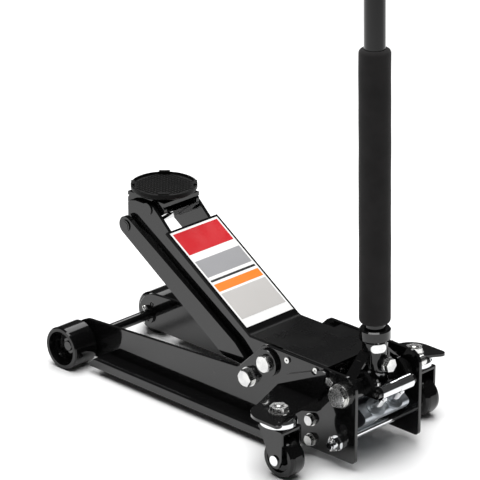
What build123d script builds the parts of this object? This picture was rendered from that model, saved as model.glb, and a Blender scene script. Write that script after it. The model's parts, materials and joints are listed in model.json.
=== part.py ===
from build123d import *
import math
import os

# Low-profile hydraulic trolley jack, in millimetres, +Z up.
# The design frame has X = 0 at the front axle, +X towards the handle, Y = 0 on the
# centre plane and Z = 0 on the floor. save() moves each part so that X = 0 falls in
# the middle of the jack's length. The jack stands with its arm partly raised.

os.makedirs("parts", exist_ok=True)

# ---- driving dimensions ----
ROLLER_R = 35.0
WHEEL_R = 31.0

WEB_IN = 67.5
WEB_T = 6.0
WEB_OUT = WEB_IN + WEB_T
FLANGE_OUT = 102.8
FLOOR_GAP = 13.0
FIT = 0.05
GAP = 0.4
EASE = 0.7

ARM_PIVOT = (407.0, 124.0)
LINK_PIVOT = (369.0, 89.0)
CARRIER_PIVOT = (120.0, 284.0)
LINK_TOP = (82.0, 249.0)
CRANK = (393.5, 81.1)
HANDLE_PIVOT = (557.5, 118.4)
TIE_ROD = (551.0, 39.0)
RAM_Z = 82.0
KINGPIN = (503.0, 149.5)
CASTER_TRAIL = 12.0
SADDLE_X = 110.0
SADDLE_TOP = 313.0
HANDLE_LEAN = -1.28
ROLLER_ARM = 38.0
ROLLER_RISE = 3.0
STRAP_R = 7.5
ROLLER_SMALL_R = 10.5
ROLLER_BIG_R = 11.2
PUMP_FACE = (577.2, 0.0, 88.1)
PUMP_TILT = 35.0
PLUNGER_Y = 19.0
FRONT_X = -ROLLER_R
REAR_X = HANDLE_PIVOT[0] + ROLLER_ARM * math.cos(math.radians(ROLLER_RISE)) + ROLLER_BIG_R
X_MID = (FRONT_X + REAR_X) / 2


# ---- helpers ----
def save(name, *solids):
    """Write the solids of one sub-part, moved to the frame centred on the jack."""
    moved = [Pos(-X_MID, 0, 0) * solid for solid in solids]
    shape = moved[0] if len(moved) == 1 else Compound(children=moved)
    export_step(shape, f"parts/{name}.step")


def slab(sketch, y0, y1):
    """Extrude an XZ sketch from y0 to y1."""
    return extrude(Plane.XZ.offset(-y1) * sketch, amount=y1 - y0)


def outline(points, radii):
    """Closed face through the points, with a rounding radius at each one."""
    return make_face(FilletPolyline(*points, radius=radii, close=True))


def disc(point, radius):
    return Pos(*point) * Circle(radius)


def bar_y(point, radius, y0, y1):
    """Round bar along Y through an XZ point."""
    return slab(disc(point, radius), y0, y1)


def ring_y(point, outer, inner, y0, y1):
    return bar_y(point, outer, y0, y1) - bar_y(point, inner, y0 - 1, y1 + 1)


def hex_y(point, across_flats, y0, y1, turn=0):
    """Hexagon head along +Y with its outer corners turned down."""
    face = Pos(*point) * RegularPolygon(across_flats / 2, 6, major_radius=False, rotation=turn)
    crown = bar_y(point, across_flats * 0.58, y0, y1)
    crown = chamfer(crown.edges().group_by(Axis.Y)[-1], across_flats * 0.03, across_flats * 0.08)
    return slab(face, y0, y1) & crown


def eased(plate, size):
    """Take the sharp edge off both faces of a plate that lies across Y."""
    faces = plate.faces().filter_by(Axis.Y)
    edges = faces.edges()
    return chamfer(edges, size)


def bar_z(x, y, radius, z0, z1):
    return Pos(x, y, z0) * extrude(Circle(radius), amount=z1 - z0)


def other_side(shape):
    """The mirror image across the centre plane."""
    return mirror(shape, about=Plane.XZ)


def both_sides(shape):
    return [shape, other_side(shape)]


def turned_y(profile):
    """Revolve a profile of (radius, y) points about the Y axis."""
    face = make_face(Polyline(*[(radius, y, 0) for radius, y in profile], close=True))
    return revolve(face, axis=Axis.Y)


def turned_z(profile):
    """Revolve a profile of (radius, z) points about the Z axis."""
    face = make_face(Polyline(*[(radius, 0, z) for radius, z in profile], close=True))
    return revolve(face, axis=Axis.Z)


def at_xz(shape, point):
    return Pos(point[0], 0, point[1]) * shape


# ---- side plates: web, outward foot flange with a turned-down lip ----
WEB_POINTS = [
    (-20.5, FLOOR_GAP),
    (-20.5, 71.6),
    (343.5, 96.7),
    (398.5, 150.5),
    (586.0, 150.5),
    (586.0, FLOOR_GAP),
]
WEB_RADII = [22, 36, 14, 14, 22, 8]
ARM_SHAFT_R = 14.0
LINK_BOLT_R = 8.0
AXLE_R = 8.5
TIE_ROD_R = 6.0
HANDLE_BOLT_R = 8.0
BASE_BOLTS = [(498.0, 60.0), (498.0, 27.0)]
BASE_BOLT_R = 5.0
COVER_SCREWS = [(448.0, 140.7), (506.0, 142.0)]
COVER_SCREW_R = 2.5
SMALL_BOLT = (536.0, 134.0)
FLANGE_X = (41.0, 440.0)
FLANGE_T = 4.0
FLANGE_TOP = 28.4


def side_plate():
    web = eased(slab(outline(WEB_POINTS, WEB_RADII), WEB_IN, WEB_OUT), EASE)
    lip_in = FLANGE_OUT - FLANGE_T
    shelf_under = FLANGE_TOP - FLANGE_T
    section = make_face(
        FilletPolyline(
            (0, WEB_OUT - 0.5, FLANGE_TOP),
            (0, FLANGE_OUT, FLANGE_TOP),
            (0, FLANGE_OUT, FLOOR_GAP - 0.5),
            (0, lip_in, FLOOR_GAP - 0.5),
            (0, lip_in, shelf_under),
            (0, WEB_OUT - 0.5, shelf_under),
            radius=[0, 4.5, 0, 0, 0.5, 0],
            close=True,
        )
    )
    flange = extrude(Pos(FLANGE_X[0], 0, 0) * section, amount=FLANGE_X[1] - FLANGE_X[0], dir=(1, 0, 0))
    nose_cut = Polyline((40, 17), (40, 30), (54.5, 30), (54.5, FLANGE_TOP), (41, 17), close=True)
    flange -= slab(make_face(nose_cut), WEB_OUT + 0.01, FLANGE_OUT + 1)
    plate = web + flange
    holes = [(ARM_PIVOT, ARM_SHAFT_R), (LINK_PIVOT, LINK_BOLT_R), ((0.0, ROLLER_R), AXLE_R)]
    holes += [(TIE_ROD, TIE_ROD_R), (HANDLE_PIVOT, HANDLE_BOLT_R), (SMALL_BOLT, 3.0)]
    holes += [(point, BASE_BOLT_R) for point in BASE_BOLTS]
    holes += [(point, COVER_SCREW_R) for point in COVER_SCREWS]
    for point, radius in holes:
        plate -= bar_y(point, radius, WEB_IN - 1, WEB_OUT + 1)
    return plate


right_plate = side_plate()
save("right_side_plate", right_plate)
save("left_side_plate", other_side(right_plate))


# ---- front axle, its caps, washers and split pins, and the two rollers ----
AXLE_END = 110.0
ROLLER_Y = (74.7, 124.5)
CUP_FLOOR = 105.0
SPLIT_PIN_R = 1.6
AXLE_PIN_Y = 59.0


def split_pin(x, y, z, length):
    """Split pin standing on Z: a leg with a loop on top."""
    leg = bar_z(x, y, SPLIT_PIN_R, z - length / 2, z + length / 2)
    eye = Pos(x, y, z + length / 2 + 2.6) * Rotation(90, 0, 0) * Torus(3.0, 1.1)
    return leg + eye


axle = bar_y((0, ROLLER_R), AXLE_R, -AXLE_END, AXLE_END)
axle = chamfer(axle.edges().filter_by(GeomType.CIRCLE), 1.0)
for side in (-1, 1):
    axle -= bar_z(0, side * AXLE_PIN_Y, SPLIT_PIN_R, 0, 2 * ROLLER_R)
save("front_axle", axle)

washer = ring_y((0, ROLLER_R), 15.0, AXLE_R, 63.5, WEB_IN)
cap = ring_y((0, ROLLER_R), 12.5, AXLE_R, 105.6, 108.0)
save("axle_washers", *both_sides(washer), *both_sides(cap))

ROLLER_PROFILE = [
    (AXLE_R + FIT, ROLLER_Y[0]),
    (14.0, ROLLER_Y[0]),
    (14.0, 77.0),
    (31.5, 77.0),
    (ROLLER_R, 79.5),
    (ROLLER_R, ROLLER_Y[1] - 2.5),
    (ROLLER_R - 1.8, ROLLER_Y[1]),
    (28.0, ROLLER_Y[1]),
    (25.5, 112.0),
    (22.0, CUP_FLOOR),
    (AXLE_R + FIT, CUP_FLOOR),
]
roller = at_xz(turned_y(ROLLER_PROFILE), (0, ROLLER_R))
save("front_roller_right", roller)
save("front_roller_left", other_side(roller))


# ---- arm pivot shaft and link pivot bolts ----
shaft = bar_y(ARM_PIVOT, ARM_SHAFT_R, -86, 86)
save("arm_pivot_shaft", chamfer(shaft.edges().filter_by(GeomType.CIRCLE), 1.5))
collar = ring_y(ARM_PIVOT, 22.0, ARM_SHAFT_R, WEB_OUT, 79.5)
save("pivot_collars", *both_sides(collar))

link_bolt = hex_y(LINK_PIVOT, 24.0, 76.4, 87.0) + bar_y(LINK_PIVOT, LINK_BOLT_R, 48.6, 77.0)
save("link_pivot_bolts", *both_sides(link_bolt))
link_washer = ring_y(LINK_PIVOT, 15.5, LINK_BOLT_R, WEB_OUT, 76.4)
link_spacer = ring_y(LINK_PIVOT, 13.0, LINK_BOLT_R, 57.4, WEB_IN)
save("link_pivot_washers", *both_sides(link_washer), *both_sides(link_spacer))


# ---- lift arm: side plates, top plate, hub, pins ----
ARM_IN = 40.0
ARM_OUT = 46.0
HUB_R = 17.4
CRANK_R = 7.0
STUB_R = 7.0
TOP_T = 4.0
TOP_HALF = 55.0
SLOPE_FRONT = (171.0, 261.3)
SLOPE_BEND = (351.6, 145.8)
HOOD_END_X = 426.5
CROSS_BAR = (230.0, 193.0)
CLEAR_R = 43.5

slope_length = math.dist(SLOPE_FRONT, SLOPE_BEND)
slope_down = math.atan2(SLOPE_FRONT[1] - SLOPE_BEND[1], SLOPE_BEND[0] - SLOPE_FRONT[0])
slope_along = (math.cos(slope_down), -math.sin(slope_down))
slope_out = (math.sin(slope_down), math.cos(slope_down))


def on_slope(along, above):
    """XZ point on the sloping top of the arm."""
    return (
        SLOPE_FRONT[0] + along * slope_along[0] + above * slope_out[0],
        SLOPE_FRONT[1] + along * slope_along[1] + above * slope_out[1],
    )


under_level = SLOPE_BEND[1] - TOP_T
under_along = (TOP_T * slope_out[1] - TOP_T) / slope_along[1] + slope_length
under_front = on_slope(0, -TOP_T)
under_bend = on_slope(under_along, -TOP_T)
ARM_POINTS = [
    (76.5, 284.0),
    (79.0, 288.0),
    (93.0, 291.5),
    (131.0, 291.5),
    (146.0, 279.0),
    under_front,
    under_bend,
    (424.0, under_level),
    (431.5, 124.0),
    (409.5, 81.0),
    (393.5, 65.0),
    (384.9, 67.6),
    (127.0, 233.0),
    (106.6, 242.6),
]
ARM_RADII = [0, 5, 12, 8, 8, 0, 0, 12, 14, 14, 10, 8, 12, 0]
CHIN_POINTS = [CARRIER_PIVOT, (70.0, 284.0), (70.0, 238.0), (105.5, 238.0)]


def arm_side():
    chin = disc(CARRIER_PIVOT, CLEAR_R) & make_face(Polyline(*CHIN_POINTS, close=True))
    plate = eased(slab(outline(ARM_POINTS, ARM_RADII) + chin, ARM_IN, ARM_OUT), EASE)
    plate -= bar_y(ARM_PIVOT, HUB_R, ARM_IN - 1, ARM_OUT + 1)
    plate -= bar_y(CRANK, CRANK_R, ARM_IN - 1, ARM_OUT + 1)
    plate -= bar_y(CARRIER_PIVOT, STUB_R, ARM_IN - 1, ARM_OUT + 1)
    plate -= bar_y(CROSS_BAR, 10.0, ARM_IN - 1, ARM_OUT + 1)
    return plate


right_arm = arm_side()
save("arm_side_right", right_arm)
save("arm_side_left", other_side(right_arm))

HOOD_END = (HOOD_END_X, SLOPE_BEND[1])
HOOD_UNDER = (HOOD_END_X, under_level)
top_points = [SLOPE_FRONT, SLOPE_BEND, HOOD_END, HOOD_UNDER, under_bend, under_front]
top_face = outline(top_points, [0, 14, 0, 0, 0, 0])
save("arm_top_plate", slab(top_face, -TOP_HALF, TOP_HALF))

DECAL_HALF = 51.0
DECAL_LENGTH = 197.0
DECAL_T = 0.4
decal_face = make_face(
    Polyline(
        on_slope(4, 0),
        on_slope(4 + DECAL_LENGTH, 0),
        on_slope(4 + DECAL_LENGTH, DECAL_T),
        on_slope(4, DECAL_T),
        close=True,
    )
)
save("decal_plate", slab(decal_face, -DECAL_HALF, DECAL_HALF))

save("arm_hub", ring_y(ARM_PIVOT, HUB_R, ARM_SHAFT_R + FIT, -66.8, 66.8))
save("arm_cross_bar", bar_y(CROSS_BAR, 10.0, -ARM_OUT, ARM_OUT))
save("crank_pin", bar_y(CRANK, CRANK_R, -ARM_OUT, ARM_OUT))
stub = bar_y(CARRIER_PIVOT, STUB_R, 31.0, 46.0) + bar_y(CARRIER_PIVOT, 10.0, 46.0, 48.0)
save("saddle_pivot_pins", *both_sides(stub))


# ---- levelling links ----
LINK_IN = 49.0
LINK_OUT = 57.0
LINK_HALF = 15.0
LINK_POINTS = [
    (92.0, 260.5),
    (321.0, 124.0),
    (344.0, 102.5),
    (366.0, 104.0),
    (384.5, 89.0),
    (369.0, 74.0),
    (340.0, 92.0),
    (297.0, 94.0),
    (72.0, 237.5),
    (67.0, 250.0),
    (76.0, 262.5),
]
LINK_RADII = [8, 20, 10, 8, 12, 12, 20, 20, 8, 10, 10]
LINK_BORE = 7.0 + GAP


def link():
    body = outline(LINK_POINTS, LINK_RADII) + disc(LINK_TOP, LINK_HALF) + disc(LINK_PIVOT, LINK_HALF)
    bar = eased(slab(body, LINK_IN, LINK_OUT), EASE)
    bar -= bar_y(LINK_TOP, LINK_BORE, LINK_IN - 1, LINK_OUT + 1)
    bar -= bar_y(LINK_PIVOT, LINK_BOLT_R + FIT, LINK_IN - 1, LINK_OUT + 1)
    return bar


right_link = link()
save("right_link", right_link)
save("left_link", other_side(right_link))


# ---- saddle carrier, its cross pin, and the saddle ----
CHEEK_IN = 32.0
CHEEK_OUT = 38.0
CARRIER_TOP = 298.0
POST_R = 12.5
CHEEK_POINTS = [
    (68.0, 249.0),
    (68.0, 292.5),
    (149.0, 292.5),
    (149.0, 280.0),
    (130.8, 272.2),
    (91.5, 238.7),
]
cheek_face = outline(CHEEK_POINTS, [0, 6, 6, 6, 0, 0]) + disc(LINK_TOP, 14.0) + disc(CARRIER_PIVOT, 13.0)
cheek = slab(cheek_face, CHEEK_IN, CHEEK_OUT)
cheek -= bar_y(LINK_TOP, 7.0, CHEEK_IN - 1, CHEEK_OUT + 1)
cheek -= bar_y(CARRIER_PIVOT, STUB_R + FIT, CHEEK_IN - 1, CHEEK_OUT + 1)
FLOOR_T = 5.0
floor_face = cheek_face - offset(cheek_face, amount=-FLOOR_T)
floor_face &= Pos(110, 249) * Rectangle(120, 54)
carrier_floor = slab(floor_face, -CHEEK_IN, CHEEK_IN)
carrier_floor -= bar_z(SADDLE_X, 0, POST_R + 1.5, 230.0, 280.0)
carrier = cheek + other_side(cheek) + carrier_floor
carrier += Pos((68 + 149) / 2, 0, (CARRIER_TOP + 292) / 2) * Box(81, 2 * CHEEK_OUT, CARRIER_TOP - 292)
carrier += bar_z(SADDLE_X, 0, 20.0, 284.0, CARRIER_TOP)
carrier -= bar_z(SADDLE_X, 0, POST_R + FIT, 250.0, CARRIER_TOP + 1)
save("saddle_carrier", carrier)
top_pin = bar_y(LINK_TOP, 7.0, -59.5, 59.5)
clip = ring_y(LINK_TOP, 9.5, 7.0, 57.5, 59.0)
save("link_top_pin", top_pin, *both_sides(clip))

SADDLE_R = 52.0
SADDLE_UNDER = 300.0
SADDLE_PROFILE = [
    (0, 262.0),
    (POST_R - 1, 262.0),
    (POST_R, 263.0),
    (POST_R, CARRIER_TOP + 0.3),
    (24.0, CARRIER_TOP + 0.3),
    (26.0, SADDLE_UNDER),
    (45.0, SADDLE_UNDER),
    (SADDLE_R - 1.0, SADDLE_UNDER + 4.0),
    (SADDLE_R, SADDLE_UNDER + 6.0),
    (SADDLE_R, SADDLE_TOP - 1.8),
    (SADDLE_R - 1.5, SADDLE_TOP - 1.0),
    (49.3, SADDLE_TOP - 1.0),
    (48.2, 308.5),
    (0, 308.5),
]
saddle = Pos(SADDLE_X, 0, 0) * turned_z(SADDLE_PROFILE)
LUG_RISE = 1.0
for step in range(4):
    lug = extrude(Pos(48.7, 0) * RectangleRounded(5.4, 17, 1.2), amount=LUG_RISE + 5)
    saddle += Pos(SADDLE_X, 0, SADDLE_TOP - 5) * Rotation(0, 0, 45 + 90 * step) * lug
save("saddle", saddle)
save("saddle_retainer", bar_z(SADDLE_X, 0, 17.0, 279.5, 283.0) - bar_z(SADDLE_X, 0, POST_R, 270, 290))


# ---- rear cover, its screws, and the small side bolts ----
COVER_X = (429.0, 523.0)
COVER_TOP = 150.3
COVER_T = 3.0
SKIRT_Z = 131.0
cover_section = make_face(
    FilletPolyline(
        (0, -WEB_IN + 0.2, SKIRT_Z),
        (0, -WEB_IN + 0.2, COVER_TOP),
        (0, WEB_IN - 0.2, COVER_TOP),
        (0, WEB_IN - 0.2, SKIRT_Z),
        (0, WEB_IN - 0.2 - COVER_T, SKIRT_Z),
        (0, WEB_IN - 0.2 - COVER_T, COVER_TOP - COVER_T),
        (0, -WEB_IN + 0.2 + COVER_T, COVER_TOP - COVER_T),
        (0, -WEB_IN + 0.2 + COVER_T, SKIRT_Z),
        radius=[0, 4, 4, 0, 0, 1, 1, 0],
        close=True,
    )
)
cover = extrude(Pos(COVER_X[0], 0, 0) * cover_section, amount=COVER_X[1] - COVER_X[0], dir=(1, 0, 0))
screws = []
for point in COVER_SCREWS:
    cover -= bar_y(point, COVER_SCREW_R, -80, 80)
    screw = bar_y(point, COVER_SCREW_R, WEB_IN - 4, WEB_OUT + 1) + bar_y(point, 4.6, WEB_OUT, WEB_OUT + 2.6)
    screw -= hex_y(point, 3.0, WEB_OUT + 1.2, WEB_OUT + 3)
    screws += both_sides(screw)
save("rear_cover", cover)
side_bolt = hex_y(SMALL_BOLT, 13.0, WEB_OUT, WEB_OUT + 4.5, 12)
side_bolt += bar_y(SMALL_BOLT, 3.0, WEB_IN - 3, WEB_OUT + 1)
save("cover_screws", *screws, *both_sides(side_bolt))


# ---- rear tie rod with nuts and split pins, base bolts ----
tie_rod = bar_y(TIE_ROD, TIE_ROD_R, -92, 92)
tie_rod = chamfer(tie_rod.edges().filter_by(GeomType.CIRCLE), 0.8)
pins = []
for side in (-1, 1):
    tie_rod -= bar_z(TIE_ROD[0], side * 88.0, SPLIT_PIN_R, 20, 60)
    pins.append(split_pin(TIE_ROD[0], side * 88.0, TIE_ROD[1], 17))
    pins.append(split_pin(0, side * AXLE_PIN_Y, ROLLER_R, 24))
save("split_pins", *pins)
tie_nut = hex_y(TIE_ROD, 19.0, WEB_OUT + 1.8, 84.5, 20) + bar_y(TIE_ROD, 12.0, WEB_OUT, WEB_OUT + 1.8)
tie_nut -= bar_y(TIE_ROD, TIE_ROD_R, WEB_OUT - 1, 90)
save("tie_rod", tie_rod, *both_sides(tie_nut))
BLOCK_HALF = 48.0
base_bolts = []
for point in BASE_BOLTS:
    bolt = hex_y(point, 15.0, WEB_OUT + 1.8, WEB_OUT + 8.5, 10) + bar_y(point, 10.0, WEB_OUT, WEB_OUT + 1.8)
    bolt += bar_y(point, BASE_BOLT_R, BLOCK_HALF - 8, WEB_OUT + 2)
    base_bolts += both_sides(bolt)
save("base_bolts", *base_bolts)


# ---- caster brackets on the webs ----
BRACKET_TOP = 98.5
BRACKET_T = 5.0
KINGPIN_R = 7.0
BRACKET_POINTS = [
    (430.0, WEB_OUT),
    (459.5, 150.0),
    (467.0, 187.0),
    (536.0, 187.0),
    (536.0, 178.0),
    (520.0, 153.0),
    (512.0, WEB_OUT),
]
BRACKET_RADII = [0, 12, 36, 6, 10, 14, 0]
EAR_POINTS = [
    (430.0, BRACKET_TOP - BRACKET_T),
    (432.0, BRACKET_TOP + 3),
    (449.0, 119.0),
    (521.0, 148.0),
    (532.0, 146.0),
    (532.0, 124.0),
    (512.0, BRACKET_TOP - BRACKET_T),
]


def caster_bracket():
    shelf = make_face(FilletPolyline(*BRACKET_POINTS, radius=BRACKET_RADII, close=True))
    bracket = Pos(0, 0, BRACKET_TOP - BRACKET_T) * extrude(shelf, amount=BRACKET_T)
    bracket = chamfer(bracket.edges().group_by(Axis.Z)[-1], EASE)
    ear = slab(outline(EAR_POINTS, [0, 2, 8, 8, 5, 8, 0]), WEB_OUT, WEB_OUT + 5)
    ear -= bar_y(HANDLE_PIVOT, 22.5, WEB_OUT - 1, WEB_OUT + 6)
    ear -= bar_y(SMALL_BOLT, 8.5, WEB_OUT - 1, WEB_OUT + 6)
    for point in COVER_SCREWS:
        ear -= bar_y(point, 5.6, WEB_OUT - 1, WEB_OUT + 6)
    shelf_under = BRACKET_TOP - BRACKET_T
    rib_in = WEB_OUT + 5
    rib = make_face(Polyline((rib_in, shelf_under), (118.0, shelf_under), (rib_in, 78.0), close=True))
    rear_rib = extrude(Plane(origin=(507, 0, 0), x_dir=(0, 1, 0), z_dir=(1, 0, 0)) * rib, amount=4.0)
    bracket += ear + rear_rib
    bracket += slab(Pos(509, 89) * Rectangle(6, 22), WEB_OUT, WEB_OUT + 6)
    bracket -= bar_z(*KINGPIN, KINGPIN_R, BRACKET_TOP - 20, BRACKET_TOP + 5)
    return bracket


bracket = caster_bracket()
save("caster_bracket_right", bracket)
save("caster_bracket_left", other_side(bracket))

RACE_TOP = BRACKET_TOP - BRACKET_T - 0.4
RACE_UNDER = 79.5
NUT_BASE = BRACKET_TOP + 2.0
kingpin = bar_z(*KINGPIN, KINGPIN_R, 66.0, 112.0) + bar_z(*KINGPIN, 11.0, 66.0, 72.0)
kingpin = chamfer(kingpin.edges().group_by(Axis.Z)[-1], 1.0)
nut = extrude(RegularPolygon(12.0, 6, major_radius=False, rotation=15), amount=8.5)
nut = Pos(*KINGPIN, NUT_BASE) * nut + bar_z(*KINGPIN, 15.0, BRACKET_TOP, NUT_BASE)
nut -= bar_z(*KINGPIN, KINGPIN_R, 90, 120)
save("kingpins", *both_sides(kingpin), *both_sides(nut))


# ---- casters: swivelling race and fork, rivet, wheel ----
WHEEL_HALF = 15.0
LEG_OUT = 21.0
LEG_T = 4.0
RIVET_R = 5.0


def fork():
    """Swivel race over a folded fork, centred on the kingpin axis."""
    race = turned_z(
        [
            (KINGPIN_R + GAP, RACE_UNDER),
            (24.0, RACE_UNDER),
            (28.0, RACE_UNDER + 3),
            (28.0, RACE_TOP - 4),
            (25.0, RACE_TOP),
            (KINGPIN_R + GAP, RACE_TOP),
        ]
    )
    crown = outline([(-22, 79.5), (26, 79.5), (26, 74.5), (-22, 74.5)], [2, 2, 0, 0])
    yoke = slab(crown, -LEG_OUT, LEG_OUT)
    yoke -= bar_z(0, 0, 11.6, 60, 76.0) + bar_z(0, 0, KINGPIN_R + GAP, 60, 90)
    leg = outline([(-20, 76), (26, 76), (26, 34), (19.5, 18), (6, 18), (-1, 34)], [0, 0, 10, 8, 8, 14])
    leg = slab(leg, LEG_OUT - LEG_T, LEG_OUT)
    leg -= bar_y((CASTER_TRAIL, WHEEL_R), RIVET_R, 0, LEG_OUT + 1)
    return race, yoke + leg + other_side(leg)


race, yoke = fork()
wheel = turned_y(
    [
        (RIVET_R + FIT, -WHEEL_HALF - 1.2),
        (10.0, -WHEEL_HALF - 1.2),
        (10.0, -WHEEL_HALF + 4),
        (19.0, -WHEEL_HALF + 4),
        (21.0, -WHEEL_HALF),
        (27.0, -WHEEL_HALF),
        (30.2, -WHEEL_HALF + 3.5),
        (WHEEL_R, -WHEEL_HALF + 8),
        (WHEEL_R, WHEEL_HALF - 8),
        (30.2, WHEEL_HALF - 3.5),
        (27.0, WHEEL_HALF),
        (21.0, WHEEL_HALF),
        (19.0, WHEEL_HALF - 4),
        (10.0, WHEEL_HALF - 4),
        (10.0, WHEEL_HALF + 1.2),
        (RIVET_R + FIT, WHEEL_HALF + 1.2),
    ]
)
rivet = bar_y((0, 0), RIVET_R, -LEG_OUT - 1, LEG_OUT + 1)
rivet += bar_y((0, 0), 8.0, LEG_OUT, LEG_OUT + 2.5) + bar_y((0, 0), 8.0, -LEG_OUT - 2.5, -LEG_OUT)
for label, side in (("left", -1), ("right", 1)):
    kingpin_at = Pos(KINGPIN[0], side * KINGPIN[1], 0)
    axle_at = kingpin_at * Pos(CASTER_TRAIL, 0, WHEEL_R)
    save(f"caster_race_{label}", kingpin_at * race, axle_at * rivet)
    save(f"caster_fork_{label}", kingpin_at * yoke)
    save(f"caster_wheel_{label}", axle_at * wheel)


# ---- hydraulic unit: pump block, glands, plungers, reservoir, cylinder, ram ----
RAM_R = 11.0
CYLINDER_X = (445.0, 536.0)
CYLINDER_R = 24.0
BLOCK_POINTS = [(532, 60), (532, 94.7), (563.7, 94.7), (586.7, 78.7), (578, 67), (566, 58)]
FOOT_POINTS = [(484, 20), (484, 68), (512, 68), (536, 94.7), (536, 60), (520, 20)]
block = slab(outline(BLOCK_POINTS, [0, 0, 6, 8, 6, 6]), -48, 48)
foot = slab(outline(FOOT_POINTS, [4, 0, 0, 0, 0, 8]), -40, 40)
block += foot
pump_at = Pos(*PUMP_FACE) * Rotation(0, PUMP_TILT, 0)
PLUNGER_R = 7.0
PLUNGER_OUT = 24.7
PLUNGER_BORE = 34.0
for side in (-1, 1):
    bore = pump_at * bar_z(0, side * PLUNGER_Y, PLUNGER_R + FIT, -PLUNGER_BORE, 5)
    seat = pump_at * bar_z(0, side * PLUNGER_Y, 15.5, -4.0, 8)
    block -= bore + seat
VALVE_R = 5.0
valve_tilt = Pos(HANDLE_PIVOT[0], 0, HANDLE_PIVOT[1]) * Rotation(0, HANDLE_LEAN, 0)
block -= valve_tilt * bar_z(0, 0, VALVE_R + FIT, -44, 0)
block -= Pos(CYLINDER_X[0], 0, RAM_Z) * Rotation(0, 90, 0) * extrude(Circle(CYLINDER_R), amount=91)
for point in BASE_BOLTS:
    block -= bar_y(point, BASE_BOLT_R, -41, 41)
save("pump_block", block)

cylinder = Rotation(0, 90, 0) * extrude(Circle(CYLINDER_R) - Circle(RAM_R + FIT), amount=12)
cylinder += Pos(12, 0, 0) * Rotation(0, 90, 0) * extrude(Circle(CYLINDER_R) - Circle(16), amount=79)
save("ram_cylinder", Pos(CYLINDER_X[0], 0, RAM_Z) * cylinder)
RESERVOIR_X = (462.0, 530.0)
tank = Rotation(0, 90, 0) * extrude(Circle(34) - Circle(31), amount=RESERVOIR_X[1] - RESERVOIR_X[0])
for x in (0, RESERVOIR_X[1] - RESERVOIR_X[0] - 4):
    tank += Pos(x, 0, 0) * Rotation(0, 90, 0) * extrude(Circle(32) - Circle(CYLINDER_R), amount=4)
tank = Pos(RESERVOIR_X[0], 0, RAM_Z) * tank
tank -= foot + Pos(534, 0, 79) * Box(4, 96, 38)
tank -= bar_z(488, 0, 5.0, 100, 130)
save("reservoir_tank", tank)
save("filler_plug", bar_z(488, 0, 5.0, 111.0, 117.0) + bar_z(488, 0, 8.0, 116.2, 120.0))

glands = []
for side in (-1, 1):
    gland = bar_z(0, 0, 15.5, -4.0, 0) - bar_z(0, 0, 11.0, -0.9, 1)
    gland += bar_z(0, 0, 9.6, -4.0, 0)
    gland -= bar_z(0, 0, PLUNGER_R + FIT, -5, 1)
    glands.append(pump_at * Pos(0, side * PLUNGER_Y, 0) * gland)
save("plunger_glands", *glands)
plungers = []
for side in (-1, 1):
    plunger = bar_z(0, side * PLUNGER_Y, PLUNGER_R, -8.0, PLUNGER_OUT)
    plunger = chamfer(plunger.edges().group_by(Axis.Z)[-1], 0.8)
    plungers.append(pump_at * plunger)
save("plunger_left", plungers[0])
save("plunger_right", plungers[1])

CROSSHEAD_X = (376.0, 412.0)
ram = Pos(CROSSHEAD_X[1], 0, RAM_Z) * Rotation(0, 90, 0) * extrude(Circle(RAM_R), amount=60)
ram += Pos(470, 0, RAM_Z) * Rotation(0, 90, 0) * extrude(Circle(15.6), amount=10)
save("ram_rod", ram)
SLOT_W = 15.8
head = outline([(376, 54), (376, 100), (412, 100), (412, 54)], [8, 8, 4, 4])
slot = Pos(CRANK[0], RAM_Z) * SlotOverall(32, SLOT_W, rotation=90)
crosshead = slab(head - slot, -18, 18)
SPRING_Y = 34.0
SPRING_Z = 58.0
crosshead += bar_y((406, SPRING_Z), 3.5, -39, 39)
save("crosshead", crosshead)
SPRING_R = 5.0
springs = []
for side in (-1, 1):
    hollow = Circle(SPRING_R) - Circle(SPRING_R - 1.6)
    tube = Pos(410, side * SPRING_Y, SPRING_Z) * Rotation(0, 90, 0) * extrude(hollow, amount=74)
    springs.append(tube)
save("return_springs", *springs)


# ---- handle socket: cross barrel, neck, gusset and the two roller arms ----
at_pivot = Pos(HANDLE_PIVOT[0], 0, HANDLE_PIVOT[1]) * Rotation(0, HANDLE_LEAN, 0)
BARREL_R = 17.0
BARREL_HALF = 62.0
NECK_R = 19.5
NECK_TOP = 71.6
TUBE_R = 16.0
TUBE_FOOT = 22.0
ROLLER_PIN_R = 3.0
ARM_IN_Y = 34.0
ARM_OUT_Y = 41.0
CLAMP_Z = 33.6
ROLLER_ANGLE = math.radians(ROLLER_RISE + HANDLE_LEAN)
ROLLER_AT = (ROLLER_ARM * math.cos(ROLLER_ANGLE), ROLLER_ARM * math.sin(ROLLER_ANGLE))


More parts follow.
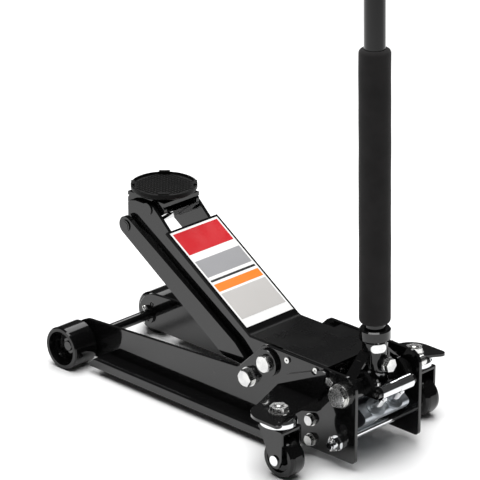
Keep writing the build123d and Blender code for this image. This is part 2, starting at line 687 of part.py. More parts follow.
def handle_socket():
    barrel = bar_y((0, 0), BARREL_R, -BARREL_HALF, BARREL_HALF)
    neck = bar_z(0, 0, NECK_R, 0, NECK_TOP)
    rim = [(0, -60, 5), (0, -60, 13), (0, -19, 52), (0, 19, 52), (0, 60, 13), (0, 60, 5)]
    gusset = extrude(Pos(-12, 0, 0) * make_face(Polyline(*rim, close=True)), amount=20, dir=(1, 0, 0))
    body = barrel + neck + gusset
    for side in (-1, 1):
        pocket = Polyline((0, side * 24, 20), (0, side * 50, 20), (0, side * 24, 42), close=True)
        body -= extrude(Pos(1, 0, 0) * make_face(pocket), amount=10, dir=(1, 0, 0))
        body -= bar_y((0, 0), HANDLE_BOLT_R + FIT, *sorted((side * 30, side * 70)))
    strap = outline(
        [(-4, 6), (-4, 30), (14, 30), (22, 24), ROLLER_AT, (ROLLER_AT[0] - 4, -6), (8, -6)],
        [2, 4, 4, 6, 4, 4, 4],
    )
    strap += disc(ROLLER_AT, STRAP_R)
    strap = slab(strap, ARM_IN_Y, ARM_OUT_Y)
    strap -= bar_y(ROLLER_AT, ROLLER_PIN_R, 0, 60)
    strap -= bar_y((0, 0), BARREL_R - 1, 30, 60)
    body += strap + other_side(strap)
    body -= bar_z(0, 0, TUBE_R + FIT, TUBE_FOOT - 1, NECK_TOP + 1)
    body -= bar_z(0, 0, 6.0, -20, TUBE_FOOT)
    body -= Pos(9, 0, -7) * Box(40, 26, 36)
    body += Rotation(0, 90, 0) * Pos(-CLAMP_Z, 0, 17) * extrude(Circle(13) - Circle(5), amount=7)
    body -= Pos(0, 0, CLAMP_Z) * Rotation(0, 90, 0) * extrude(Circle(5.0), amount=40)
    return body


save("handle_socket", at_pivot * handle_socket())
collar_ring = turned_z(
    [
        (NECK_R, 67),
        (22.5, 67),
        (24.0, 70),
        (24.0, 84),
        (22.0, 86),
        (TUBE_R + FIT, 86),
        (TUBE_R + FIT, NECK_TOP),
        (NECK_R, NECK_TOP),
    ]
)
save("socket_collar", at_pivot * collar_ring)
clamp_head = extrude(RegularPolygon(9.5, 6, major_radius=False, rotation=18), amount=8.0)
clamp = Pos(25.5, 0, CLAMP_Z) * Rotation(0, 90, 0) * clamp_head
clamp += Pos(24.0, 0, CLAMP_Z) * Rotation(0, 90, 0) * extrude(Circle(11.0), amount=1.6)
clamp += Pos(14.0, 0, CLAMP_Z) * Rotation(0, 90, 0) * extrude(Circle(5.0), amount=12)
save("clamp_bolt", at_pivot * clamp)
TAG_Z = 62.0
tag = extrude(Circle(NECK_R + 0.5) - Circle(NECK_R), amount=13)
tag_shape = extrude(RectangleRounded(13, 24, 6.0), amount=24, both=True)
tag &= Pos(NECK_R, 0, 6.5) * Rotation(0, 90, 0) * tag_shape
tag = Rotation(0, 0, -29) * tag
save("socket_tag", at_pivot * Pos(0, 0, TAG_Z - 10.0) * tag)
save("roller_pin", at_pivot * bar_y(ROLLER_AT, ROLLER_PIN_R, -44, 44))
pump_roller = ring_y(ROLLER_AT, ROLLER_SMALL_R, ROLLER_PIN_R + FIT, -33.4, 33.4)
pump_roller += ring_y(ROLLER_AT, ROLLER_BIG_R, ROLLER_PIN_R + FIT, 6.0, 33.4)
save("pump_roller", at_pivot * pump_roller)

handle_bolts = []
for side in (-1, 1):
    bolt = hex_y(HANDLE_PIVOT, 30.0, WEB_OUT + 6.0, 86.0, 8)
    bolt += bar_y(HANDLE_PIVOT, 18.6, WEB_OUT, WEB_OUT + 4)
    bolt += bar_y(HANDLE_PIVOT, 17.5, WEB_OUT + 3.5, WEB_OUT + 6.5)
    bolt += bar_y(HANDLE_PIVOT, HANDLE_BOLT_R, 31.0, WEB_OUT + 1)
    handle_bolts.append(bolt if side > 0 else other_side(bolt))
handle_bolts[1] += bar_y(HANDLE_PIVOT, 8.5, 85.5, 107.0)
save("handle_pivot_bolts", *handle_bolts)


# ---- handle: lower tube, foam grip, upper tube, end cap, release coupling ----
HANDLE_TOP = 1080.0 - HANDLE_PIVOT[1]
GRIP = (94.0, 518.0)
GRIP_R = 24.0
tube = extrude(Circle(TUBE_R) - Circle(13.0), amount=HANDLE_TOP - TUBE_FOOT - 8)
tube = Pos(0, 0, TUBE_FOOT) * tube
tube += bar_z(0, 0, 13.2, TUBE_FOOT, TUBE_FOOT + 26)
tube -= bar_z(0, 0, 18, CLAMP_Z - 6, CLAMP_Z + 6) - bar_z(0, 0, 13.2, 0, 90)
save("handle_tube", at_pivot * tube)
grip = turned_z(
    [
        (TUBE_R, GRIP[0]),
        (19, GRIP[0]),
        (GRIP_R, GRIP[0] + 6),
        (GRIP_R, GRIP[1] - 6),
        (21, GRIP[1]),
        (TUBE_R, GRIP[1]),
    ]
)
save("foam_grip", at_pivot * grip)
cap_at = HANDLE_TOP - 8
end_cap = turned_z(
    [
        (0, cap_at - 20),
        (13.0, cap_at - 20),
        (13.0, cap_at),
        (18, cap_at),
        (18, HANDLE_TOP - 3),
        (15, HANDLE_TOP),
        (0, HANDLE_TOP),
    ]
)
save("handle_end_cap", at_pivot * end_cap)
DRIVER_R = 4.0
driver = bar_z(0, 0, DRIVER_R, 0, TUBE_FOOT) + Sphere(6.0)
save("release_driver", at_pivot * driver)
spindle = bar_z(0, 0, VALVE_R, -42, -8) + bar_z(0, 0, 9.0, -12, -1.5)
spindle -= Sphere(6.0 + GAP)
save("release_spindle", valve_tilt * spindle)
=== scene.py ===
import json
import math

import bpy
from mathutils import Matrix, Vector


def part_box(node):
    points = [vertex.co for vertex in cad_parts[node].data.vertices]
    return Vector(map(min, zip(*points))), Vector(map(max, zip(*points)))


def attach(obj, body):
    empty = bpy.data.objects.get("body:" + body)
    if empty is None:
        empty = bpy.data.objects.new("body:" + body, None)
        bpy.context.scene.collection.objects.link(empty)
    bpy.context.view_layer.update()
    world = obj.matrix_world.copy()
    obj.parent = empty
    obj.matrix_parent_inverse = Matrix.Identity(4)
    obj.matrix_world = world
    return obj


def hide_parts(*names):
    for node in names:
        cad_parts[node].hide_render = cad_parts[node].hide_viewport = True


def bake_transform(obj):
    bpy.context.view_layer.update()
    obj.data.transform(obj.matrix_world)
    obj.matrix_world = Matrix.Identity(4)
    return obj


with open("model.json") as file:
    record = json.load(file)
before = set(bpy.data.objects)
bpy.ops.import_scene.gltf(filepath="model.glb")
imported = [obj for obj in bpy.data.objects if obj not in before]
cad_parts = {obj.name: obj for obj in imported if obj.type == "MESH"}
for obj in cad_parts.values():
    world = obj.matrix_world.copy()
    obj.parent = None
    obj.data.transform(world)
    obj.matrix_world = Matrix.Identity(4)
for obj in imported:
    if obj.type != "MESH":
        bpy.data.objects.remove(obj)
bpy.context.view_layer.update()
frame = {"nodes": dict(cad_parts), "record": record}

MM = 0.001
scene = bpy.context.scene
scene.view_settings.view_transform = "Standard"


# ---- places read from the frame ----
def corners(node):
    low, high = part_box(node)
    return Vector(low), Vector(high)


def middle(node):
    low, high = corners(node)
    return (low + high) / 2


joints = {joint["name"]: joint for joint in frame["record"]["behaviour"]["joints"]}


def joint_place(name):
    return Vector(joints[name]["pos_m"])


# ---- node building ----
class Shader:
    """A material's node tree with short ways to add and join nodes."""

    def __init__(self, name):
        self.material = bpy.data.materials.new(name)
        self.material.use_nodes = True
        self.tree = self.material.node_tree
        self.surface = self.tree.nodes["Principled BSDF"]
        self.object_space = self.add("ShaderNodeTexCoord").outputs["Object"]

    def add(self, kind, **settings):
        node = self.tree.nodes.new(kind)
        for key, value in settings.items():
            setattr(node, key, value)
        return node

    def join(self, source, target):
        self.tree.links.new(source, target)

    def effect(self, group, **values):
        """Place a shared effect with its own values."""
        node = self.add("ShaderNodeGroup")
        node.node_tree = group
        for socket in node.inputs:
            key = socket.name.lower().replace(" ", "_")
            if key in values:
                socket.default_value = values[key]
        self.join(self.object_space, node.inputs["Place"])
        return node

    def set(self, **values):
        for key, value in values.items():
            self.surface.inputs[key.replace("_", " ")].default_value = value

    def bump(self, height, strength, distance):
        node = self.add("ShaderNodeBump")
        node.inputs["Strength"].default_value = strength
        node.inputs["Distance"].default_value = distance
        self.join(height, node.inputs["Height"])
        self.join(node.outputs["Normal"], self.surface.inputs["Normal"])

    def spread(self, mask, low, high, target):
        """Feed a socket with low where the mask is 0 and high where it is 1."""
        node = self.add("ShaderNodeMapRange")
        node.inputs["To Min"].default_value = low
        node.inputs["To Max"].default_value = high
        self.join(mask, node.inputs["Value"])
        self.join(node.outputs["Result"], self.surface.inputs[target])

    def tint(self, mask, dark, light):
        """Base colour that goes from dark to light with the mask."""
        node = self.add("ShaderNodeMix", data_type="RGBA")
        node.inputs[6].default_value = (*dark, 1)
        node.inputs[7].default_value = (*light, 1)
        self.join(mask, node.inputs[0])
        self.join(node.outputs[2], self.surface.inputs["Base Color"])


def new_group(name, inputs, outputs):
    """Shader node group with named float inputs, a Place vector and named outputs."""
    tree = bpy.data.node_groups.new(name, "ShaderNodeTree")
    tree.interface.new_socket("Place", in_out="INPUT", socket_type="NodeSocketVector")
    for label in inputs:
        tree.interface.new_socket(label, in_out="INPUT", socket_type="NodeSocketFloat")
    for label in outputs:
        tree.interface.new_socket(label, in_out="OUTPUT", socket_type="NodeSocketFloat")
    start = tree.nodes.new("NodeGroupInput")
    end = tree.nodes.new("NodeGroupOutput")
    return tree, start, end


def feed(tree, socket, value):
    """Set a socket to a number, or link another node's output to it."""
    if isinstance(value, (int, float)):
        socket.default_value = value
    else:
        tree.links.new(value, socket)


def noise(tree, place, scale, detail, roughness=0.5):
    node = tree.nodes.new("ShaderNodeTexNoise")
    node.inputs["Detail"].default_value = detail
    node.inputs["Roughness"].default_value = roughness
    tree.links.new(place, node.inputs["Vector"])
    feed(tree, node.inputs["Scale"], scale)
    return node.outputs["Fac"]


def maths(tree, operation, first, second):
    node = tree.nodes.new("ShaderNodeMath")
    node.operation = operation
    feed(tree, node.inputs[0], first)
    feed(tree, node.inputs[1], second)
    return node.outputs[0]


def threshold(tree, value, low, high):
    node = tree.nodes.new("ShaderNodeMapRange")
    node.interpolation_type = "SMOOTHSTEP"
    feed(tree, node.inputs["From Min"], low)
    feed(tree, node.inputs["From Max"], high)
    tree.links.new(value, node.inputs["Value"])
    return node.outputs["Result"]


# ---- shared effects ----
def enamel_film_group():
    """Fine ripple of sprayed enamel, with faint settled dust on what faces up."""
    tree, start, end = new_group(
        "enamel film", ["Ripple Scale", "Dust"], ["Height", "Dust Mask", "Haze"]
    )
    place = start.outputs["Place"]
    ripple = noise(tree, place, start.outputs["Ripple Scale"], detail=2.0, roughness=0.45)
    cloud = noise(tree, place, scale=14.0, detail=4.0)
    normal = tree.nodes.new("ShaderNodeNewGeometry").outputs["Normal"]
    split = tree.nodes.new("ShaderNodeSeparateXYZ")
    tree.links.new(normal, split.inputs[0])
    up = threshold(tree, split.outputs["Z"], 0.3, 1.0)
    specks = threshold(tree, noise(tree, place, scale=900.0, detail=2.0), 0.62, 0.75)
    dust = maths(tree, "MULTIPLY", maths(tree, "MULTIPLY", up, specks), start.outputs["Dust"])
    tree.links.new(ripple, end.inputs["Height"])
    tree.links.new(dust, end.inputs["Dust Mask"])
    tree.links.new(threshold(tree, cloud, 0.35, 0.75), end.inputs["Haze"])
    return tree


def scuff_group():
    """Thin scratches and rubbed spots from handling."""
    tree, start, end = new_group("scuffs", ["Amount", "Scratch Scale"], ["Mask"])
    place = start.outputs["Place"]
    stretch = tree.nodes.new("ShaderNodeMapping")
    stretch.inputs["Scale"].default_value = (1.0, 9.0, 5.0)
    stretch.inputs["Rotation"].default_value = (0.5, 0.3, 0.7)
    tree.links.new(place, stretch.inputs["Vector"])
    along = stretch.outputs["Vector"]
    lines = noise(tree, along, start.outputs["Scratch Scale"], detail=4.0, roughness=0.7)
    where = threshold(tree, noise(tree, place, scale=22.0, detail=3.0), 0.5, 0.72)
    marks = maths(tree, "MULTIPLY", threshold(tree, lines, 0.6, 0.7), where)
    tree.links.new(maths(tree, "MULTIPLY", marks, start.outputs["Amount"]), end.inputs["Mask"])
    return tree


def cut_metal_group():
    """Turned or drawn metal: fine lines along one way and clouded plating."""
    tree, start, end = new_group("cut metal", ["Line Scale"], ["Lines", "Cloud"])
    place = start.outputs["Place"]
    stretch = tree.nodes.new("ShaderNodeMapping")
    stretch.inputs["Scale"].default_value = (1.0, 0.06, 1.0)
    tree.links.new(place, stretch.inputs["Vector"])
    along = stretch.outputs["Vector"]
    lines = noise(tree, along, start.outputs["Line Scale"], detail=3.0, roughness=0.6)
    cloud = threshold(tree, noise(tree, place, scale=70.0, detail=4.0), 0.3, 0.75)
    tree.links.new(lines, end.inputs["Lines"])
    tree.links.new(cloud, end.inputs["Cloud"])
    return tree


def grain_group():
    """Rough grain of cast metal, foam skin or rubber."""
    tree, start, end = new_group("grain", ["Grain Scale", "Pit Size"], ["Height", "Cloud"])
    place = start.outputs["Place"]
    fine = noise(tree, place, start.outputs["Grain Scale"], detail=4.0, roughness=0.65)
    cells = tree.nodes.new("ShaderNodeTexVoronoi")
    tree.links.new(place, cells.inputs["Vector"])
    tree.links.new(start.outputs["Grain Scale"], cells.inputs["Scale"])
    pits = threshold(tree, cells.outputs["Distance"], 0.0, start.outputs["Pit Size"])
    fine_part = maths(tree, "MULTIPLY", fine, 0.6)
    pit_part = maths(tree, "MULTIPLY", pits, 0.4)
    tree.links.new(maths(tree, "ADD", fine_part, pit_part), end.inputs["Height"])
    cloud = noise(tree, place, scale=30.0, detail=5.0)
    tree.links.new(threshold(tree, cloud, 0.3, 0.7), end.inputs["Cloud"])
    return tree


ENAMEL = enamel_film_group()
SCUFFS = scuff_group()
CUT_METAL = cut_metal_group()
GRAIN = grain_group()


# ---- materials: rough is the lowest and the highest roughness ----
DUST_COLOUR = (0.075, 0.073, 0.07)
BLUE_SHARE = 1.04
METALLIC_CLEAN = 1.0
METALLIC_SCUFFED = 0.85


def black_enamel(name, black, rough, coat, ripple, dust, gloss):
    shade = Shader(name)
    film = shade.effect(ENAMEL, ripple_scale=240.0, dust=dust)
    scuffs = shade.effect(SCUFFS, amount=0.5, scratch_scale=55.0)
    both = shade.add("ShaderNodeMath", operation="MAXIMUM")
    shade.join(film.outputs["Dust Mask"], both.inputs[0])
    shade.join(scuffs.outputs["Mask"], both.inputs[1])
    shade.tint(both.outputs[0], (black, black, black * BLUE_SHARE), DUST_COLOUR)
    shade.spread(film.outputs["Haze"], *rough, "Roughness")
    shade.set(Coat_Weight=coat, Coat_Roughness=0.03, Coat_IOR=1.45)
    shade.set(IOR=1.3, Specular_IOR_Level=gloss)
    shade.bump(film.outputs["Height"], ripple, 0.0002)
    return shade.material


def plated_steel(name, colour, dark, rough, line_scale, relief):
    shade = Shader(name)
    cut = shade.effect(CUT_METAL, line_scale=line_scale)
    scuffs = shade.effect(SCUFFS, amount=0.4, scratch_scale=120.0)
    shade.tint(cut.outputs["Cloud"], dark, colour)
    shade.spread(cut.outputs["Lines"], *rough, "Roughness")
    shade.spread(scuffs.outputs["Mask"], METALLIC_CLEAN, METALLIC_SCUFFED, "Metallic")
    shade.bump(cut.outputs["Lines"], relief, 0.00015)
    return shade.material


def grained(name, dark, light, rough, grain_scale, pit, relief, depth, gloss=0.5):
    shade = Shader(name)
    grain = shade.effect(GRAIN, grain_scale=grain_scale, pit_size=pit)
    shade.tint(grain.outputs["Cloud"], dark, light)
    shade.spread(grain.outputs["Height"], *rough, "Roughness")
    shade.set(Specular_IOR_Level=gloss)
    shade.bump(grain.outputs["Height"], relief, depth)
    return shade


def foam():
    shade = grained(
        "closed cell foam",
        dark=(0.0105, 0.0098, 0.01),
        light=(0.0155, 0.0145, 0.0148),
        rough=(0.8, 0.95),
        grain_scale=1500.0,
        pit=0.6,
        relief=0.35,
        depth=0.0003,
        gloss=0.2,
    )
    shade.set(Sheen_Weight=0.08, Sheen_Roughness=0.5)
    return shade.material


def film_print(name, colour):
    """One colour of the printed film: a little uneven, under a clear gloss."""
    shade = Shader(name)
    grain = shade.effect(GRAIN, grain_scale=700.0, pit_size=0.5)
    scuffs = shade.effect(SCUFFS, amount=0.25, scratch_scale=90.0)
    worn = tuple(min(1.0, value * 0.9 + 0.03) for value in colour)
    shade.tint(scuffs.outputs["Mask"], colour, worn)
    shade.spread(grain.outputs["Cloud"], 0.28, 0.4, "Roughness")
    shade.set(Coat_Weight=0.4, Coat_Roughness=0.12)
    shade.bump(grain.outputs["Height"], 0.05, 0.0001)
    return shade.material


MATERIALS = {
    "gloss_black_paint": black_enamel(
        "gloss black enamel",
        black=0.004, rough=(0.09, 0.16), coat=0.95, ripple=0.04, dust=0.16, gloss=0.3,
    ),
    "satin_black_paint": black_enamel(
        "satin black coat",
        black=0.003, rough=(0.26, 0.36), coat=0.03, ripple=0.1, dust=0.12, gloss=0.12,
    ),
    "gloss_black_wheel": black_enamel(
        "gloss black wheel",
        black=0.003, rough=(0.12, 0.2), coat=0.6, ripple=0.03, dust=0.12, gloss=0.2,
    ),
    "zinc_steel": plated_steel(
        "bright zinc plate",
        colour=(0.78, 0.78, 0.76), dark=(0.6, 0.6, 0.6), rough=(0.16, 0.34),
        line_scale=900.0, relief=0.12,
    ),
    "bright_chrome": plated_steel(
        "polished chrome",
        colour=(0.86, 0.87, 0.88), dark=(0.78, 0.79, 0.8), rough=(0.04, 0.12),
        line_scale=600.0, relief=0.04,
    ),
    "silver_casting": plated_steel(
        "silver casting",
        colour=(0.5, 0.53, 0.56), dark=(0.4, 0.43, 0.46), rough=(0.3, 0.46),
        line_scale=500.0, relief=0.15,
    ),
    "plain_tag": plated_steel(
        "plain tag",
        colour=(0.9, 0.9, 0.9), dark=(0.75, 0.75, 0.75), rough=(0.2, 0.34),
        line_scale=1100.0, relief=0.1,
    ),
    "spring_steel": plated_steel(
        "spring wire",
        colour=(0.2, 0.2, 0.21), dark=(0.1, 0.1, 0.11), rough=(0.3, 0.5),
        line_scale=900.0, relief=0.1,
    ),
    "dark_cast_iron": grained(
        "black cast iron",
        dark=(0.0015, 0.0015, 0.0015), light=(0.004, 0.0039, 0.0039), rough=(0.38, 0.55),
        grain_scale=420.0, pit=0.45, relief=0.3, depth=0.0004, gloss=0.12,
    ).material,
    "black_foam": foam(),
    "black_rubber": grained(
        "black rubber",
        dark=(0.012, 0.012, 0.012), light=(0.02, 0.02, 0.02), rough=(0.55, 0.75),
        grain_scale=600.0, pit=0.4, relief=0.15, depth=0.0002,
    ).material,
    "printed_label": film_print("label white", (0.82, 0.82, 0.81)),
}

for subpart in frame["record"]["subparts"]:
    node = frame["nodes"][subpart["node"]]
    node.data.materials.clear()
    node.data.materials.append(MATERIALS[subpart["material_slot"]])


# ---- mesh helpers ----
def new_piece(name, points, faces, material, smooth=True):
    mesh = bpy.data.meshes.new(name)
    mesh.from_pydata([tuple(point) for point in points], [], faces)
    mesh.materials.append(material)
    mesh.validate()
    mesh.update()
    piece = bpy.data.objects.new(name, mesh)
    scene.collection.objects.link(piece)
    for polygon in mesh.polygons:
        polygon.use_smooth = smooth
    return piece


def turned(profile, segments, centre, axis):
    """Points and faces of a closed turned body: profile of (radius, along) round an axis."""
    axis = Vector(axis).normalized()
    side = axis.orthogonal().normalized()
    other = axis.cross(side)
    points = []
    for radius, along in profile:
        for step in range(segments):
            turn = math.tau * step / segments
            outward = side * math.cos(turn) + other * math.sin(turn)
            points.append(centre + axis * along + outward * radius)
    faces = []
    for row in range(len(profile) - 1):
        for step in range(segments):
            ahead = (step + 1) % segments
            here, above = row * segments, (row + 1) * segments
            faces.append((here + step, here + ahead, above + ahead, above + step))
    return points, faces


def rod_along(path, radius, sides):
    """Closed tube of a given radius along a list of points."""
    points, faces = [], []
    up = Vector((0, 1, 0))
    for place, point in enumerate(path):
        ahead = path[min(place + 1, len(path) - 1)] - path[max(place - 1, 0)]
        ahead.normalize()
        across = ahead.cross(up).normalized()
        rise = across.cross(ahead)
        for step in range(sides):
            turn = math.tau * step / sides
            points.append(point + (across * math.cos(turn) + rise * math.sin(turn)) * radius)
    for place in range(len(path) - 1):
        for step in range(sides):
            ahead = (step + 1) % sides
            here, above = place * sides, (place + 1) * sides
            faces.append((here + step, above + step, above + ahead, here + ahead))
    last = (len(path) - 1) * sides
    faces.append(tuple(range(sides)))
    faces.append(tuple(last + step for step in reversed(range(sides))))
    return points, faces


# ---- foam grip ----
GRIP_END_GAP = 0.6 * MM
GRIP_BORE_SHARE = 2 / 3
GRIP_BORE_GAP = 0.2 * MM
GRIP_SHOULDER = 6.5 * MM
GRIP_EDGE = 1.5 * MM
GRIP_ROWS = 60
GRIP_SEGMENTS = 72
SHOULDER_STEPS = 6
DENT = 0.25
DENT_VARIES = 0.2


def foam_grip():
    """Soft sleeve with rounded ends, very slightly uneven as pressed foam is."""
    lean = Vector(joints["handle_twist"]["axis"]).normalized()
    pivot = joint_place("handle_twist")
    low, high = corners("foam_grip")
    radius = (high.y - low.y) / 2
    bottom = (low.z - pivot.z) / lean.z + GRIP_END_GAP
    top = (high.z - pivot.z) / lean.z - GRIP_END_GAP
    bore = radius * GRIP_BORE_SHARE + GRIP_BORE_GAP
    inner = radius - GRIP_SHOULDER
    straight = top - bottom - 2 * GRIP_SHOULDER
    quarter = [math.pi / 2 * step / SHOULDER_STEPS for step in range(SHOULDER_STEPS + 1)]
    profile = [(bore, bottom), (bore + GRIP_EDGE, bottom)]
    for turn in quarter:
        rise = bottom + GRIP_SHOULDER * (1 - math.cos(turn))
        profile.append((inner + GRIP_SHOULDER * math.sin(turn), rise))
    for row in range(1, GRIP_ROWS):
        profile.append((radius, bottom + GRIP_SHOULDER + straight * row / GRIP_ROWS))
    for turn in quarter:
        rise = top - GRIP_SHOULDER + GRIP_SHOULDER * math.sin(turn)
        profile.append((inner + GRIP_SHOULDER * math.cos(turn), rise))
    profile.append((bore, top))
    profile.append((bore, bottom))
    points, faces = turned(profile, GRIP_SEGMENTS, pivot, lean)
    for index, point in enumerate(points):
        out = point - pivot - lean * (point - pivot).dot(lean)
        if out.length > bore + 2 * MM:
            swell = math.sin(point.z * 61.0) * math.cos(point.z * 23.0 + out.x * 90.0)
            points[index] = point - out.normalized() * (DENT + DENT_VARIES * swell) * MM
    grip = new_piece("foam_sleeve", points, faces, MATERIALS["black_foam"])
    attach(grip, "handle")
    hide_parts("foam_grip")


# ---- saddle knurl ----
DISH_DEPTH = 5.5 * MM
RIM_WIDTH = 4.4 * MM
KNURL_PITCH = 6.4 * MM
KNURL_HEIGHT = 1.6 * MM
KNURL_SUNK = 0.1 * MM
KNURL_FOOT = 0.94
KNURL_TIP = 0.3
KNURL_MARGIN = 1.4


def saddle_knurl():
    """Diamond points pressed into the floor of the saddle's dish."""
    centre = middle("saddle")
    low, high = corners("saddle")
    dish = high.z - DISH_DEPTH
    reach = (high.x - low.x) / 2 - RIM_WIDTH
    half = KNURL_PITCH * 0.5
    square = ((half, half), (-half, half), (-half, -half), (half, -half))
    points, faces = [], []
    count = int(reach / KNURL_PITCH) + 1
    for row in range(-count, count + 1):
        for column in range(-count, count + 1):
            x = column * KNURL_PITCH
            y = row * KNURL_PITCH
            if math.hypot(x, y) + half * KNURL_MARGIN > reach:
                continue
            base = len(points)
            here = Vector((centre.x + x, centre.y + y, dish - KNURL_SUNK))
            for share, height in ((KNURL_FOOT, 0), (KNURL_TIP, KNURL_HEIGHT)):
                for dx, dy in square:
                    points.append(here + Vector((dx * share, dy * share, height)))
            for side in range(4):
                ahead = (side + 1) % 4
                faces.append((base + side, base + ahead, base + 4 + ahead, base + 4 + side))
            faces.append((base + 4, base + 5, base + 6, base + 7))
            faces.append((base + 3, base + 2, base + 1, base))
    knurl = new_piece("saddle_knurl", points, faces, MATERIALS["dark_cast_iron"], smooth=False)
    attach(knurl, "saddle_body")


# ---- label: plain colour bands on the arm's top plate ----
LABEL_COLOURS = {
    "label_red": (0.52, 0.008, 0.014),
    "label_grey": (0.3, 0.3, 0.31),
    "label_dark": (0.02, 0.02, 0.02),
    "label_orange": (0.78, 0.21, 0.015),
    "label_pale": (0.5, 0.485, 0.47),
}
# Piece, ink, and where the band starts and ends as shares of the label's length.
LABEL_BANDS = [
    ("label_red_band", "label_red", 0.02, 0.24),
    ("label_grey_band", "label_grey", 0.31, 0.48),
    ("label_dark_bar", "label_dark", 0.51, 0.53),
    ("label_orange_bar", "label_orange", 0.555, 0.63),
    ("label_pale_panel", "label_pale", 0.65, 0.965),
]
LABEL_SIDES = (0.03, 0.97)
BAND_RAISED = 0.05 * MM
BAND_THICK = 0.22 * MM


def label_bands():
    """Thin raised patches, one for each band."""
    low, high = corners("decal_plate")
    along = Vector((high.x - low.x, 0, low.z - high.z)).normalized()
    across = Vector((0, 1, 0))
    out = along.cross(across)
    top = Vector((low.x, low.y, high.z))
    length = math.hypot(high.x - low.x, high.z - low.z)
    width = high.y - low.y
    near, far = LABEL_SIDES
    inks = {}
    for name, colour in LABEL_COLOURS.items():
        inks[name] = film_print(name.replace("_", " "), colour)
    for name, ink, start, end in LABEL_BANDS:
        outline = [(start, near), (start, far), (end, far), (end, near)]
        points = []
        for level in (0.0, BAND_THICK):
            for share, over in outline:
                flat = top + along * share * length + across * over * width
                points.append(flat + out * (BAND_RAISED + level))
        faces = [(4, 5, 6, 7), (3, 2, 1, 0)]
        for corner in range(4):
            ahead = (corner + 1) % 4
            faces.append((corner, ahead, 4 + ahead, 4 + corner))
        patch = new_piece(name, points, faces, inks[ink], smooth=False)
        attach(patch, "lift_arm")


# ---- return springs ----
WIRE_R = 1.0 * MM
COIL_GAP = 0.2 * MM
COIL_END_GAP = 3 * MM
COIL_TURNS = 18
STEPS_PER_TURN = 16
WIRE_SIDES = 8


def return_springs():
    """Open wire coils, stretched between crosshead and pump block."""
    low, high = corners("return_springs")
    outer = (high.z - low.z) / 2
    coil = outer - WIRE_R - COIL_GAP
    height = (low.z + high.z) / 2
    steps = COIL_TURNS * STEPS_PER_TURN
    travel = high.x - low.x - 2 * COIL_END_GAP
    for label, side in (("left", -1), ("right", 1)):
        y = side * (high.y - outer)
        path = []
        for step in range(steps + 1):
            share = step / steps
            turn = math.tau * COIL_TURNS * share
            x = low.x + COIL_END_GAP + travel * share
            path.append(Vector((x, y + coil * math.cos(turn), height + coil * math.sin(turn))))
        points, faces = rod_along(path, WIRE_R, WIRE_SIDES)
        spring = new_piece(f"return_spring_{label}", points, faces, MATERIALS["spring_steel"])
        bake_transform(spring)
        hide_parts("return_springs")


# ---- threads above the kingpin nuts ----
THREAD_R = 6.95 * MM
THREAD_LENGTH = 2.0 * MM
THREAD_PITCH = 1.0 * MM
THREAD_DROP = 2.9 * MM
THREAD_ROOT = 0.02 * MM
THREAD_CREST = 0.3 * MM
THREAD_SUNK = 0.2 * MM
THREAD_SEGMENTS = 32


def thread_sleeve(name, body, centre, axis, radius, length, pitch):
    """Fine V rings standing just proud of a round bar."""
    inside = radius - THREAD_SUNK
    root = radius + THREAD_ROOT
    profile = [(inside, 0.0)]
    count = int(length / pitch)
    for ring in range(count):
        profile.append((root, (ring + 0.1) * pitch))
        profile.append((radius + THREAD_CREST, (ring + 0.5) * pitch))
        profile.append((root, (ring + 0.9) * pitch))
    profile.append((inside, count * pitch))
    profile.append((inside, 0.0))
    points, faces = turned(profile, THREAD_SEGMENTS, centre, axis)
    sleeve = new_piece(name, points, faces, MATERIALS["zinc_steel"])
    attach(sleeve, body)


def threads():
    height = corners("kingpins")[1].z - THREAD_DROP
    for label in ("left", "right"):
        place = joint_place(f"caster_{label}_swivel")
        centre = Vector((place.x, place.y, height))
        name = f"kingpin_thread_{label}"
        thread_sleeve(name, "chassis", centre, (0, 0, 1), THREAD_R, THREAD_LENGTH, THREAD_PITCH)


foam_grip()
saddle_knurl()
label_bands()
return_springs()
threads()


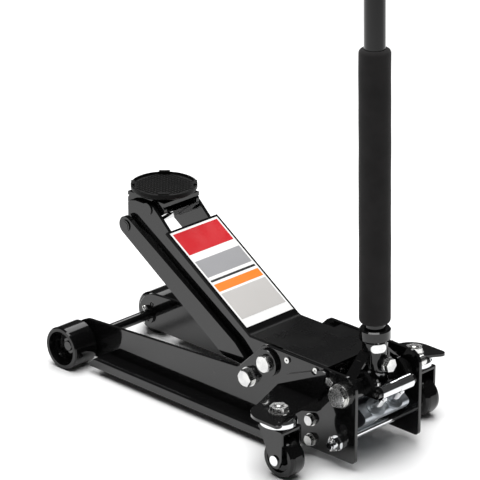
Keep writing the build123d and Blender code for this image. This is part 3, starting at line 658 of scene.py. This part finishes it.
# ---- floor, light and camera ----
FLOOR_REACH = 9.0
EYE = (3.17115, -3.2316, 2.1101)
AZIMUTH = math.radians(44.55)
ELEVATION = math.radians(22.157)
LENS_MM = 240.42
SENSOR_MM = 36.0
CLIP_END = 50.0


def floor():
    mesh = bpy.data.meshes.new("floor")
    low, high = -FLOOR_REACH, FLOOR_REACH
    ring = [(low, low, 0), (high, low, 0), (high, high, 0), (low, high, 0)]
    mesh.from_pydata(ring, [], [(0, 1, 2, 3)])
    sheet = bpy.data.objects.new("floor", mesh)
    scene.collection.objects.link(sheet)
    shade = Shader("pale floor")
    cloud = noise(shade.tree, shade.object_space, scale=2.0, detail=2.0)
    shade.tint(cloud, (0.9, 0.9, 0.9), (0.93, 0.93, 0.93))
    shade.set(Roughness=0.9, Specular_IOR_Level=0.1)
    mesh.materials.append(shade.material)


def softbox(name, place, target, width, height, power):
    light = bpy.data.lights.new(name, "AREA")
    light.shape = "RECTANGLE"
    light.size = width
    light.size_y = height
    light.energy = power
    lamp = bpy.data.objects.new(name, light)
    lamp.location = place
    lamp.rotation_euler = (Vector(target) - Vector(place)).to_track_quat("-Z", "Y").to_euler()
    scene.collection.objects.link(lamp)


def surroundings(colour, strength):
    world = bpy.data.worlds.new("studio")
    world.use_nodes = True
    back = world.node_tree.nodes["Background"]
    back.inputs["Color"].default_value = (*colour, 1)
    back.inputs["Strength"].default_value = strength
    scene.world = world


def camera():
    lens = bpy.data.cameras.new("camera")
    lens.sensor_width = SENSOR_MM
    lens.lens = LENS_MM
    lens.clip_end = CLIP_END
    eye = bpy.data.objects.new("camera", lens)
    eye.location = EYE
    eye.rotation_euler = (math.pi / 2 - ELEVATION, 0.0, AZIMUTH)
    scene.collection.objects.link(eye)
    scene.camera = eye


floor()
surroundings((1.0, 1.0, 1.0), 0.05)
softbox("overhead", (0.2, -0.3, 3.2), (0.0, 0.0, 0.0), width=3.0, height=3.0, power=150.0)
softbox("overhead_back", (-1.7, 1.8, 3.4), (-0.6, 0.6, 0.0), width=2.8, height=2.8, power=90.0)
camera()
